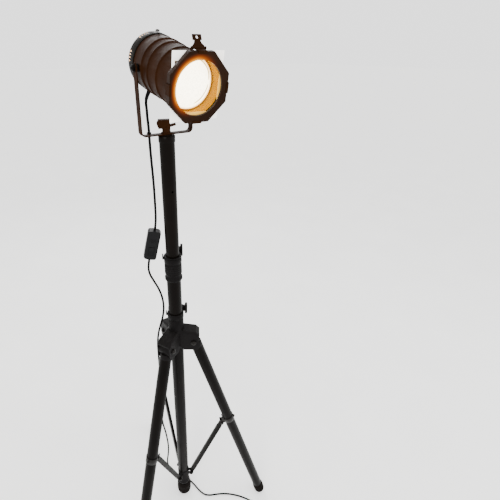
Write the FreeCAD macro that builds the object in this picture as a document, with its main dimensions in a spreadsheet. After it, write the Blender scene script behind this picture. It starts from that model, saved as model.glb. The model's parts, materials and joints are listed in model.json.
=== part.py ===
import FreeCAD, Part
import math
import os
import re
import Sketcher

# A small par can on a telescoping tripod stand, with its lead, inline switch and plug.
# Millimetres, +Z up. The origin is the middle of the column foot's flat bottom, on the floor.
# The lamp looks along -Y and down by can_tilt. The yoke's pivots lie along X.

V = FreeCAD.Vector
doc = FreeCAD.newDocument("par_can_light")

DIMENSIONS = [
    # column, collars and foot
    ("column_dia", 39, "lower tube, outside"),
    ("column_wall", 1.5, "lower tube, wall"),
    ("column_bottom", 30, "lower tube's end, inside the column foot"),
    ("column_top", 1100, "lower tube's end, inside the mast collar"),
    ("foot_dia", 54, "column foot, outside"),
    ("foot_top", 78, "column foot, top"),
    ("lower_collar_dia", 43, "lower collar, outside"),
    ("lower_collar_low", 84, "lower collar, bottom"),
    ("lower_collar_high", 166, "lower collar, top"),
    ("brace_foot_radius", 32, "pole axis to the braces' lower pivots"),
    ("brace_foot_height", 140, "floor to the braces' lower pivots"),
    # mast
    ("mast_dia", 35, "upper tube, outside"),
    ("mast_wall", 1.5, "upper tube, wall"),
    ("mast_bottom", 670, "upper tube's lower end"),
    ("mast_top", 1456, "upper tube's upper end"),
    ("mast_cap_dia", 37.4, "mast cap, outside"),
    ("mast_cap_top", 1458, "mast cap, top"),
    ("mast_hole_height", 1333, "cross hole in the upper tube"),
    ("stud_dia", 10, "stud that the yoke turns on"),
    ("stud_top", 1484, "top of the stud"),
    ("mast_collar_low", 1082, "mast collar, bottom"),
    ("mast_collar_high", 1156, "mast collar, top"),
    ("mast_clamp_height", 1154, "mast collar's clamp bolt"),
    ("hub_clamp_height", 957, "hub's clamp bolt"),
    # hub and legs
    ("hub_low", 838, "hub housings, bottom"),
    ("hub_shoulder", 906, "hub housings, top"),
    ("hub_high", 968, "hub neck, top"),
    ("hub_reach", 68, "pole axis to a housing's end"),
    ("housing_width", 43, "a leg housing, outside"),
    ("housing_gap", 38, "a leg housing, inside"),
    ("leg_dia", 35, "leg tube, outside"),
    ("leg_wall", 1.5, "leg tube, wall"),
    ("leg_pivot_radius", 51.5, "pole axis to a leg's pivot"),
    ("leg_pivot_height", 866, "floor to a leg's pivot"),
    ("leg_spread", 17.3, "a leg's angle to the column, degrees"),
    ("leg_foot_dia", 40, "leg foot, outside"),
    ("leg_foot_round", 14, "leg foot's rounding"),
    ("bracket_along", 413, "leg pivot to the brace bracket, along the leg"),
    ("bracket_offset", 29, "leg axis to the brace's upper pivot"),
    ("brace_width", 16, "brace channel, width"),
    ("brace_depth", 10, "brace channel, depth"),
    ("brace_wall", 1.5, "brace channel, wall"),
    ("ear_gap", 10.6, "gap between the ears at each end of a brace"),
    # yoke
    ("yoke_half", 59, "pole axis to the middle of a yoke arm"),
    ("yoke_thick", 2.5, "yoke strap, thickness"),
    ("yoke_width", 18, "yoke strap, width"),
    ("yoke_base", 1459.6, "underside of the yoke strap"),
    ("yoke_bend", 8, "inside radius of the yoke's bends"),
    ("pivot_height", 1588, "floor to the tilt axis"),
    # can, measured along its own axis ahead of the tilt axis
    ("can_tilt", 11, "the can's axis below level, degrees"),
    ("cap_dia", 108, "rear cap, outside"),
    ("cap_wall", 1.5, "rear cap, wall"),
    ("cap_back", 58, "tilt axis back to the cap's rear face"),
    ("cap_front", 24, "tilt axis back to the cap's open end"),
    ("barrel_dia", 99, "barrel ahead of its beads, outside"),
    ("barrel_bore", 96.6, "barrel, inside"),
    ("barrel_step", 3.2, "barrel's rear stretch over its front one, a side"),
    ("flange_dia", 111, "barrel's front flange"),
    ("flange_front", 136, "front face of the barrel's flange"),
    ("frame_half", 57, "gel frame, half across its flats"),
    ("frame_hole", 90, "hole in the gel frame"),
    ("frame_front", 149, "front face of the gel frame"),
    ("card_half", 49, "gel card, half its width"),
    ("card_tall", 56.5, "gel card, half its height"),
    ("lens_dia", 92, "lamp's lens"),
    ("lens_front", 114, "front of the lamp's lens"),
    # cord
    ("cord_dia", 6, "lead, outside"),
]

sheet = doc.addObject("Spreadsheet::Sheet", "Dims")
for row, (alias, value, note) in enumerate(DIMENSIONS, start=1):
    sheet.set(f"A{row}", alias)
    sheet.set(f"B{row}", str(value))
    sheet.set(f"C{row}", note)
    sheet.setAlias(f"B{row}", alias)
doc.recompute()

ALIASES = {alias for alias, _, _ in DIMENSIONS}
LEGS = {"right": -30, "left": -150, "rear": 90}   # azimuth of each leg, degrees
NIB_TURN = 153                                    # azimuth of the small nib on each clamp, degrees
VENT_GROUPS, VENT_SLOTS, VENT_PITCH = 7, 4, 6     # the rear cap's slots: groups, slots in each, degrees apart
BEADS = [(11, 4.0, 2.2), (37, 2.9, 1.2), (74, 1.8, 0.0)]   # start, height over the skin, skin's step after it
GLAND_AHEAD, GLAND_TURN = -16, 154                # where the lead leaves the barrel, along and about its axis
LATCH_UP, LATCH_AHEAD, LATCH_LEAN = 59.5, 134.5, 32   # the latch's hinge, and its thumb tab's lean backwards
SWITCH_FACES = (-0.354, -0.935, 0)                # which way the switch's rocker looks
COIL_RADIUS, COIL_AT = 33, (216, -244)            # middle of the put-away turns

# The lead's route. Each stretch ends where the next starts, at the tie, the switch or the coil.
LEAD_CAN = [
    (-25.7, 25.7, 1539.4), (-31.4, 27.9, 1527.9), (-31.4, 25.0, 1508.0), (-33.4, 20.0, 1491.5),
    (-34.4, 14.6, 1477.0), (-34.4, 14.6, 1460.0),
]
LEAD_MAST = [
    (-34.4, 14.6, 1460.0), (-34.4, 14.6, 1442.0), (-33.2, 16.6, 1410.0), (-31.0, 17.8, 1356.0),
    (-30.8, 18.4, 1298.0), (-32.0, 18.5, 1249.0), (-35.9, 20.7, 1228.4),
]
LEAD_FLOOR = [
    (-52.5, 30.3, 1147.6), (-57.6, 33.2, 1122.0), (-56.3, 32.5, 1098.0), (-46.8, 27.0, 1073.0),
    (-36.4, 21.0, 1047.0), (-29.4, 17.0, 1015.0), (-28.0, 16.1, 982.0), (-32.0, 18.5, 949.0),
    (-40.7, 23.5, 914.0), (-48.5, 28.0, 877.0), (-52.0, 30.0, 830.0), (-51.5, 29.8, 765.0),
    (-53.0, 31.0, 690.0), (-56.0, 32.5, 610.0), (-58.5, 33.6, 530.0), (-58.0, 33.0, 453.0),
    (-50.0, 33.0, 400.0), (-45.0, 35.0, 350.0), (-41.0, 38.0, 292.0), (-42.0, 44.0, 230.0),
    (-46.5, 51.0, 178.0), (-43.0, 56.0, 134.0), (-33.5, 56.5, 98.0), (-22.0, 53.0, 62.0),
    (-7.0, 49.0, 30.0), (12.0, 43.5, 9.0), (28.0, 31.0, 3.1), (38.0, 13.0, 3.1), (46.0, -8.0, 3.1),
    (54.0, -33.0, 3.1), (66.0, -56.0, 3.1), (85.0, -69.0, 3.1), (110.0, -82.0, 3.1), (142.0, -104.0, 3.1),
    (174.0, -130.0, 3.1), (198.0, -155.0, 3.1), (214.0, -178.0, 3.1), (228.0, -198.0, 3.1),
    (245.3, -223.0, 3.1),
]
LEAD_TAIL = [
    (190.5, -269.5, 3.1), (179.0, -260.5, 3.1), (169.5, -250.5, 5.6), (160.5, -241.5, 7.6),
    (151.5, -233.5, 7.6),
]


def dim(alias):
    """A driving dimension's value."""
    return float(getattr(sheet, alias))


def formula(text):
    """An expression in which every driving dimension is named on its sheet."""
    named = re.compile(r"[a-z_]+")
    return named.sub(lambda m: f"Dims.{m.group(0)}" if m.group(0) in ALIASES else m.group(0), str(text))


def place(thing, x=0, y=0, z=0, axis=(0, 0, 1), angle=0):
    """Puts a thing at a point, turned about an axis, each given as a number or a formula."""
    turn = f"create(<<rotation>>; create(<<vector>>; {axis[0]}; {axis[1]}; {axis[2]}); {formula(angle)})"
    spot = f"create(<<vector>>; {formula(x)}; {formula(y)}; {formula(z)})"
    thing.setExpression("Placement", f"create(<<placement>>; {spot}; {turn})")
    return thing


def primitive(kind, sizes):
    """A Part primitive with its sizes bound to formulas."""
    thing = doc.addObject(kind, "solid")
    for name, text in sizes.items():
        thing.setExpression(name, formula(text))
    return thing


def rod(radius, low, high, x=0, y=0):
    """A cylinder along Z between two heights."""
    thing = primitive("Part::Cylinder", {"Radius": radius, "Height": f"({high}) - ({low})"})
    return place(thing, x, y, low)


def cross_rod(radius, along, low, high, x=0, y=0, z=0):
    """A cylinder along X or Y between two places on that axis."""
    thing = primitive("Part::Cylinder", {"Radius": radius, "Height": f"({high}) - ({low})"})
    if along == "x":
        return place(thing, low, y, z, (0, 1, 0), 90)
    return place(thing, x, low, z, (1, 0, 0), -90)


def block(x, y, z):
    """A box between two places on each axis."""
    sides = {"Length": x, "Width": y, "Height": z}
    thing = primitive("Part::Box", {name: f"({s[1]}) - ({s[0]})" for name, s in sides.items()})
    return place(thing, x[0], y[0], z[0])


def fuse(things):
    """One solid of several that touch."""
    joined = doc.addObject("Part::MultiFuse", "joined")
    joined.Shapes = things
    joined.Refine = True
    return joined


def cut(base, tools):
    """A solid with other solids taken out of it."""
    left = doc.addObject("Part::Cut", "cut")
    left.Base = base
    left.Tool = tools[0] if len(tools) == 1 else fuse(tools)
    left.Refine = True
    return left


def tube(outer, inner, low, high):
    """A round tube along Z."""
    return cut(rod(outer, low, high), [rod(inner, low, high)])


def turned(outline):
    """A PartDesign body revolved about Z from a closed outline of (radius, height) formulas."""
    body = doc.addObject("PartDesign::Body", "turned")
    drawing = sketch(body, "XZ_Plane", outline)
    spin = body.newObject("PartDesign::Revolution", "spin")
    spin.Profile = drawing
    spin.ReferenceAxis = (drawing, ["V_Axis"])
    spin.Angle = 360
    doc.recompute()
    return body


def padded(outline, plane, depth):
    """A PartDesign body padded evenly to both sides of one of its origin planes."""
    body = doc.addObject("PartDesign::Body", "padded")
    pad = body.newObject("PartDesign::Pad", "pad")
    pad.Profile = sketch(body, plane, outline)
    pad.Midplane = True
    pad.setExpression("Length", formula(depth))
    doc.recompute()
    return body


def sketch(body, plane, outline):
    """A closed outline of straight edges whose corners are bound to formulas."""
    drawing = body.newObject("Sketcher::SketchObject", "outline")
    base = [feature for feature in body.Origin.OriginFeatures if feature.Role == plane][0]
    drawing.AttachmentSupport = [(base, "")]
    drawing.MapMode = "FlatFace"
    corners = [(value_of(u), value_of(v)) for u, v in outline]
    for here, there in zip(corners, corners[1:] + corners[:1]):
        drawing.addGeometry(Part.LineSegment(V(*here, 0), V(*there, 0)), False)
    count = len(corners)
    for edge in range(count):
        drawing.addConstraint(Sketcher.Constraint("Coincident", edge, 2, (edge + 1) % count, 1))
    for edge, (u, v) in enumerate(outline):
        for kind, text in (("DistanceX", u), ("DistanceY", v)):
            rule = Sketcher.Constraint(kind, -1, 1, edge, 1, value_of(text))
            number = drawing.addConstraint(rule)
            drawing.setExpression(f"Constraints[{number}]", formula(text))
    doc.recompute()
    return drawing


def value_of(text):
    """The number that a formula of driving dimensions gives."""
    return float(sheet.evalExpression(formula(text)))


def round_edges(body, radius, chosen):
    """Fillets the edges of a body's last feature that a test picks."""
    base = body.Tip
    edges = [f"Edge{n}" for n, edge in enumerate(base.Shape.Edges, start=1) if chosen(edge)]
    if not edges:
        raise ValueError(f"no edge to round on {body.Label}")
    fillet = body.newObject("PartDesign::Fillet", "rounding")
    fillet.Base = (base, edges)
    fillet.setExpression("Radius", formula(radius))
    doc.recompute()
    return body


def ring_at(height, radius):
    """A test for the circular edges at one height and radius."""
    def chosen(edge):
        curve = edge.Curve
        if not isinstance(curve, Part.Circle):
            return False
        return abs(curve.Center.z - height) < 0.01 and abs(curve.Radius - radius) < 0.01
    return chosen


NODES = []


def node(name, thing):
    """Names a finished sub-part, which is written to its own file."""
    thing.Label = name
    NODES.append(thing)
    return thing


def group_of(things):
    """Identical solids as one sub-part."""
    group = doc.addObject("Part::Compound", "group")
    group.Links = things
    return group


def polar(thing, turns):
    """The same solid at several azimuths about the pole axis."""
    made = []
    for azimuth in turns:
        twin = doc.addObject("Part::Compound", "turned_copy")
        twin.Links = [thing]
        made.append(place(twin, angle=azimuth))
    return made


def moved(thing, **where):
    """A thing in a frame of its own, which place() then puts where it belongs."""
    holder = doc.addObject("Part::Compound", "moved")
    holder.Links = [thing]
    return place(holder, **where)


# ------------------------------------------------------------------ column

def build_column():
    """The lower tube with its foot, lower collar and the mast collar on top."""
    column = "column_dia / 2"
    foot = turned([
        ("0", "0"), ("foot_dia / 2", "0"), ("foot_dia / 2", "foot_top - 16"), ("foot_dia / 2 - 4", "foot_top"),
        (column, "foot_top"), (column, "column_bottom"), ("0", "column_bottom"),
    ])
    round_edges(foot, "22", ring_at(0, dim("foot_dia") / 2))
    round_edges(foot, "5", ring_at(dim("foot_top") - 16, dim("foot_dia") / 2))
    node("column_foot", foot)
    node("column_tube", tube(column, f"{column} - column_wall", "column_bottom", "column_top"))

    inner, outer = "ear_gap / 2", "ear_gap / 2 + 3"
    pivot, height = "brace_foot_radius", "brace_foot_height"
    ears = []
    for low, high in ((inner, outer), (f"-({outer})", f"-({inner})")):
        ears.append(block(("lower_collar_dia / 2 - 2", pivot), (low, high), (f"{height} - 8", f"{height} + 8")))
        ears.append(cross_rod("8", "y", low, high, x=pivot, z=height))
    ear_holes = cross_rod("3", "y", f"-({outer})", outer, x=pivot, z=height)
    sleeve = turned([
        (column, "lower_collar_low"), ("lower_collar_dia / 2 + 1.5", "lower_collar_low"),
        ("lower_collar_dia / 2 + 1.5", "lower_collar_low + 9"), ("lower_collar_dia / 2", "lower_collar_low + 12"),
        ("lower_collar_dia / 2", "lower_collar_high - 6"), ("lower_collar_dia / 2 - 1", "lower_collar_high"),
        (column, "lower_collar_high"),
    ])
    body = fuse([sleeve] + polar(fuse(ears), LEGS.values()))
    node("lower_collar", cut(body, polar(ear_holes, LEGS.values())))
    pin = fuse([
        cross_rod("2.9", "y", f"-({outer}) - 2", f"{outer} + 2", x=pivot, z=height),
        cross_rod("5.5", "y", outer, f"{outer} + 3.5", x=pivot, z=height),
        cross_rod("5.5", "y", f"-({outer}) - 3.5", f"-({outer})", x=pivot, z=height),
    ])
    node("collar_bolts", group_of(polar(pin, LEGS.values())))


def build_mast_collar():
    """The ribbed sleeve on top of the lower tube, with the nylon bushing that guides the mast."""
    column = "column_dia / 2"
    low, high = "mast_collar_low", "mast_collar_high"
    profile = [
        (column, low), ("22.2", low), ("23.6", f"{low} + 3"), ("23.6", f"{low} + 9"), ("21.8", f"{low} + 12"),
        ("21.8", f"{low} + 20"),
    ]
    for rib in range(5):
        start = f"{low} + {20 + 6 * rib}"
        profile += [("23", f"{start} + 1"), ("23", f"{start} + 4"), ("21.8", f"{start} + 5")]
    profile += [
        ("21", f"{high} - 22"), ("21", f"{high} - 3"), ("23.4", f"{high} - 3"), ("23.4", f"{high} - 1"),
        ("22.4", high), ("18", high), ("18", f"{high} - 4"), (column, f"{high} - 4"),
    ]
    node("mast_collar", turned(profile))
    node("mast_bushing", tube(column, "mast_dia / 2 + 0.1", "column_top", f"{high} - 4"))


def build_clamp(prefix, low, high, height, half, turn):
    """A clamp ring on a neck, with two round ears, their cross bolt, its hand knob and a small nib.

    Half is half of the ears' thickness together, with the slit between them.
    """
    seat, past, reach = "21", "24.4", "30"
    ears = []
    for near, far in (("0.8", half), (f"-({half})", "-0.8")):
        ears.append(block(("16", reach), (near, far), (f"{height} - 11", f"{height} + 11")))
        ears.append(cross_rod("11", "y", near, far, x=reach, z=height))
    neck = [rod(seat, low, high), rod(past, high, f"{height} + 12"), rod(past, f"{low} - 12", low)]
    bolt_hole = cross_rod("3", "y", f"-({half})", half, x=reach, z=height)
    slit = block((f"{seat} - 1", f"{seat} + 4"), ("-0.8", "0.8"), (low, high))
    gripping = moved(cut(fuse(ears), neck + [bolt_hole]), angle=turn)
    ring = cut(tube(f"{seat} + 2.4", seat, low, high), [moved(slit, angle=turn)])
    nib = fuse([
        block((f"{seat} + 1", "27.5"), ("-1.8", "1.8"), (f"{high} - 8", high)),
        block((past, "27.5"), ("-1.8", "1.8"), (f"{high} - 3", f"{high} + 8")),
    ])
    node(f"{prefix}_clamp", fuse([ring, gripping, moved(nib, angle=NIB_TURN)]))

    head = doc.addObject("Part::Prism", "head")
    head.Polygon = 6
    head.setExpression("Circumradius", "5.6")
    head.setExpression("Height", "4")
    place(head, reach, f"{half} + 4", "0", (1, 0, 0), 90)
    bolt = fuse([head, cross_rod("3", "y", f"-({half}) - 9.4", half, x=reach)])
    node(f"{prefix}_clamp_bolt", moved(bolt, z=height, angle=turn))

    boss = cross_rod("10", "y", f"-({half}) - 5.4", f"-({half}) - 0.4", x=reach)
    disc = cross_rod("16.5", "y", f"-({half}) - 12.4", f"-({half}) - 5.4", x=reach)
    scallops = []
    for number in range(7):
        angle = math.radians(number * 360 / 7)
        across, up = f"{reach} + {19.4 * math.cos(angle)}", 19.4 * math.sin(angle)
        scallops.append(cross_rod("4", "y", f"-({half}) - 13", f"-({half}) - 5", x=across, z=up))
    bore = cross_rod("3.1", "y", f"-({half}) - 9.6", f"-({half})", x=reach)
    node(f"{prefix}_knob", moved(cut(fuse([boss, disc]), scallops + [bore]), z=height, angle=turn))


# ------------------------------------------------------------------ hub, legs and braces

def build_hub():
    """The sliding hub: a neck, and three leg housings open below and at their ends."""
    bore = "column_dia / 2 + 0.3"
    housing = padded([
        ("12", "hub_low + 14"), ("22", "hub_low"), ("hub_reach - 3", "hub_low"), ("hub_reach", "hub_low + 6"),
        ("hub_reach", "hub_shoulder - 14"), ("hub_reach - 10", "hub_shoulder - 3"), ("38", "hub_shoulder"),
        ("12", "hub_shoulder + 4"),
    ], "XZ_Plane", "housing_width")
    round_edges(housing, "6", is_outer_lip)
    space = padded([
        ("25", "hub_low - 2"), ("hub_reach + 2", "hub_low - 2"), ("hub_reach + 2", "hub_shoulder - 20"),
        ("hub_reach - 3", "hub_shoulder - 20"), ("hub_reach - 3", "hub_shoulder - 15"),
        ("hub_reach - 12", "hub_shoulder - 6"), ("25", "hub_shoulder - 3"),
    ], "XZ_Plane", "housing_gap")
    pin = "leg_pivot_radius"
    hole = cross_rod("4", "y", "-housing_width", "housing_width", x=pin, z="leg_pivot_height")
    neck = turned([
        ("0", "hub_low + 4"), ("24", "hub_low + 4"), ("24", "hub_shoulder"), ("22", "hub_shoulder + 10"),
        ("22", "hub_high - 21"), ("21", "hub_high - 20"), ("21", "hub_high - 3"), ("23.4", "hub_high - 3"),
        ("23.4", "hub_high - 1"), ("22.6", "hub_high"), ("0", "hub_high"),
    ])
    solid = fuse([neck] + polar(housing, LEGS.values()))
    centre = rod(bore, "hub_low - 5", "hub_high + 5")
    node("hub_body", cut(solid, [centre] + polar(fuse([space, hole]), LEGS.values())))
    side = "housing_width / 2"
    bolt = fuse([
        cross_rod("3.9", "y", f"-({side}) - 2", f"{side} + 2", x=pin, z="leg_pivot_height"),
        cross_rod("7.5", "y", side, f"{side} + 4", x=pin, z="leg_pivot_height"),
        cross_rod("7.5", "y", f"-({side}) - 4", f"-({side})", x=pin, z="leg_pivot_height"),
    ])
    node("hub_pivot_bolts", group_of(polar(bolt, LEGS.values())))


def is_outer_lip(edge):
    """Tells the housing's long top edges, which run along it on either side."""
    ends = [vertex.Point for vertex in edge.Vertexes]
    if len(ends) != 2:
        return False
    level = all(point.z > dim("hub_shoulder") - 14.5 for point in ends)
    return level and abs(ends[0].y - ends[1].y) < 0.01 and min(point.x for point in ends) > 30


def leg_frame(thing, azimuth):
    """Puts a thing made along -Z below its pivot, with outward along X, into its place on a leg."""
    hung = moved(thing, x="leg_pivot_radius", z="leg_pivot_height", axis=(0, 1, 0), angle="-leg_spread")
    return moved(hung, angle=azimuth)


def build_leg(name, azimuth):
    """A leg tube with its pivot knuckle, rubber foot and the bracket that the brace ends in."""
    radius, bore = "leg_dia / 2", "leg_dia / 2 - leg_wall"
    rounding = "leg_foot_round"
    # the foot's rounding touches the floor at this leg's angle
    drop = f"(leg_pivot_height - {rounding} - (leg_foot_dia / 2 - {rounding}) * sin(leg_spread)) / cos(leg_spread)"
    end = f"-({rounding} + {drop})"
    tube_end = f"{end} + 24"
    knuckle = fuse([
        cross_rod("17", "y", "-18.4", "18.4"),
        rod(radius, "-30", "-14"),
        rod(f"{bore} - 0.05", "-60", "-30"),
        block(("-12", "12"), ("-12", "12"), ("-20", "0")),
    ])
    hole = cross_rod("4", "y", "-20", "20")
    node(f"leg_{name}_knuckle", leg_frame(cut(knuckle, [hole]), azimuth))
    node(f"leg_{name}_tube", leg_frame(tube(radius, bore, tube_end, "-30"), azimuth))
    cap = turned([
        ("0", end), ("leg_foot_dia / 2", end), ("leg_foot_dia / 2", f"{end} + 44"), (f"{radius} + 1", f"{end} + 52"),
        (radius, f"{end} + 52"), (radius, tube_end), ("0", tube_end),
    ])
    round_edges(cap, rounding, ring_at(value_of(end), dim("leg_foot_dia") / 2))
    node(f"leg_{name}_foot", leg_frame(cap, azimuth))

    level = "-bracket_along"
    band = f"{level} + 18"
    inner, outer = "ear_gap / 2", "ear_gap / 2 + 2.5"
    pivot = "-bracket_offset"
    parts = [rod("leg_dia / 2 + 1.5", f"{level} + 8", f"{level} + 28")]
    for near, far in ((inner, outer), (f"-({outer})", f"-({inner})")):
        parts.append(block((f"{pivot} - 7", "-10"), (near, far), (level, f"{level} + 12")))
        parts.append(block(("-24", "-10"), (near, far), (f"{level} + 8", f"{level} + 28")))
        parts.append(cross_rod("7", "y", near, far, x=pivot, z=level))
    parts.append(cross_rod("5.5", "y", outer, f"{outer} + 3.5", x=pivot, z=level))
    parts.append(cross_rod("5.5", "y", f"-({outer}) - 3.5", f"-({outer})", x=pivot, z=level))
    parts.append(cross_rod("4.5", "x", "leg_dia / 2", "leg_dia / 2 + 4.5", z=band))
    bracket = cut(fuse(parts), [rod(radius, f"{level} - 12", f"{level} + 32")])
    node(f"leg_{name}_bracket", leg_frame(bracket, azimuth))


def brace_points():
    """The braces' upper and lower pivots, as radius and height in a leg's own plane."""
    spread = math.radians(dim("leg_spread"))
    along, offset = dim("bracket_along"), dim("bracket_offset")
    top = (
        dim("leg_pivot_radius") + along * math.sin(spread) - offset * math.cos(spread),
        dim("leg_pivot_height") - along * math.cos(spread) - offset * math.sin(spread),
    )
    return (dim("brace_foot_radius"), dim("brace_foot_height")), top


def build_brace(name, azimuth):
    """A pressed channel whose forked, rounded ends are pinned at the collar and at the leg."""
    bottom, top = brace_points()
    length = math.dist(bottom, top)
    lean = math.degrees(math.atan2(top[0] - bottom[0], top[1] - bottom[1]))
    half, side, inside = "brace_width / 2", "brace_depth / 2", "brace_depth / 2 - brace_wall"
    bar = fuse([
        block((f"-({half}) + 1", f"{half} - 1"), (f"-({side})", side), ("0", length)),
        cross_rod(f"{half} - 1", "y", f"-({side})", side),
        cross_rod(f"{half} - 1", "y", f"-({side})", side, z=length),
        block((f"-({half})", half), (f"-({side})", side), ("24", length - 24)),
    ])
    hollows = [
        block((f"-({half}) + brace_wall", f"{half} + 1"), (f"-({inside})", inside), ("-10", length + 10)),
        block((f"-({half}) - 1", half), (f"-({inside})", inside), ("-10", "14")),
        block((f"-({half}) - 1", half), (f"-({inside})", inside), (length - 14, length + 10)),
    ]
    holes = [cross_rod("3", "y", "-8", "8"), cross_rod("3.4", "y", "-8", "8", z=length)]
    lower = moved(cut(bar, hollows + holes), x="brace_foot_radius", z="brace_foot_height", axis=(0, 1, 0), angle=lean)
    node(f"brace_{name}", moved(lower, angle=azimuth))


# ------------------------------------------------------------------ mast and yoke

def build_mast():
    """The upper tube, its cap, and the stud with the washer that the yoke turns on."""
    radius = "mast_dia / 2"
    shaft = tube(radius, f"{radius} - mast_wall", "mast_bottom", "mast_top")
    cross_hole = cross_rod("2.5", "y", "-mast_dia", "mast_dia", z="mast_hole_height")
    node("mast_tube", cut(shaft, [cross_hole]))
    stud = "stud_dia / 2"
    node("mast_cap", turned([
        (stud, "mast_top"), (radius, "mast_top"), (radius, "mast_top - 12"), ("mast_cap_dia / 2", "mast_top - 12"),
        ("mast_cap_dia / 2", "mast_cap_top - 1.2"), ("mast_cap_dia / 2 - 1.2", "mast_cap_top"),
        (stud, "mast_cap_top"),
    ]))
    node("mast_stud", fuse([rod(stud, "mast_top - 14", "stud_top"), rod("14", "mast_top - 6", "mast_top")]))
    node("pan_washer", tube("12.5", stud, "mast_cap_top", "mast_cap_top + 1.5"))


def build_yoke():
    """The flat strap bent into a U, with its washers, wing nut and the tie that holds the lead."""
    inside, outside = "yoke_half - yoke_thick / 2", "yoke_half + yoke_thick / 2"
    low, top = "yoke_base", "pivot_height + yoke_width / 2"
    strap = padded([
        (f"-({outside})", low), (outside, low), (outside, top), (inside, top), (inside, f"{low} + yoke_thick"),
        (f"-({inside})", f"{low} + yoke_thick"), (f"-({inside})", top), (f"-({outside})", top),
    ], "XZ_Plane", "yoke_width")
    round_edges(strap, "yoke_bend", corner_along_y(dim("yoke_half") - dim("yoke_thick") / 2, "inside"))
    round_edges(strap, "yoke_bend + yoke_thick", corner_along_y(dim("yoke_half") + dim("yoke_thick") / 2, "outside"))
    round_edges(strap, "yoke_width / 2 - 0.01", arm_tips)
    holes = [
        rod("stud_dia / 2 + 0.1", "yoke_base - 5", "yoke_base + 5"),
        cross_rod("4.1", "x", "-yoke_half - 5", "yoke_half + 5", z="pivot_height"),
    ]
    node("yoke", cut(strap, holes))
    washers = [
        cut(cross_rod("7.8", "x", near, far, z="pivot_height"), [cross_rod("4.1", "x", near, far, z="pivot_height")])
        for near, far in ((outside, f"{outside} + 1.2"), (f"-({outside}) - 1.2", f"-({outside})"))
    ]
    node("tilt_washers", group_of(washers))

    seat = "yoke_base + yoke_thick + 0.3"
    wings = [
        block(("-17", "-2"), ("-7.5", "7.5"), (f"{seat} + 10", f"{seat} + 28")),
        cross_rod("8", "y", "-7.5", "7.5", x="-12", z=f"{seat} + 19"),
        rod("9", seat, f"{seat} + 13"),
        rod("12", seat, f"{seat} + 1.6"),
        block(("-4", "8"), ("-8", "8"), (f"{seat} + 10", f"{seat} + 28")),
        moved(block(("0", "15"), ("-3", "3"), ("0", "5")), x="7", z=f"{seat} + 12", axis=(0, 1, 0), angle=-14),
    ]
    bore = rod("stud_dia / 2 + 0.1", "yoke_base", "stud_top + 0.5")
    nut = cut(fuse(wings), [bore])
    node("yoke_wing_nut", moved(nut, angle=-20))


def corner_along_y(x, which):
    """A test for the strap's two bend corners on one side of its thickness."""
    heights = {"inside": dim("yoke_base") + dim("yoke_thick"), "outside": dim("yoke_base")}

    def chosen(edge):
        ends = [vertex.Point for vertex in edge.Vertexes]
        if len(ends) != 2:
            return False
        straight = abs(abs(ends[0].x) - x) < 0.01 and abs(ends[0].x - ends[1].x) < 0.01
        return straight and all(abs(point.z - heights[which]) < 0.01 for point in ends)
    return chosen


def arm_tips(edge):
    """Tells the short edges across the arms' tops, which are rounded off to half circles."""
    ends = [vertex.Point for vertex in edge.Vertexes]
    top = dim("pivot_height") + dim("yoke_width") / 2
    flat = len(ends) == 2 and all(abs(point.z - top) < 0.01 for point in ends)
    return flat and abs(ends[0].y - ends[1].y) < 0.01


# ------------------------------------------------------------------ can, made along +Z ahead of its pivot

def can_frame(thing):
    """Puts a thing made with +Z ahead and +Y up into the can's place."""
    return moved(thing, z="pivot_height", axis=(1, 0, 0), angle="90 + can_tilt")


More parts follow.
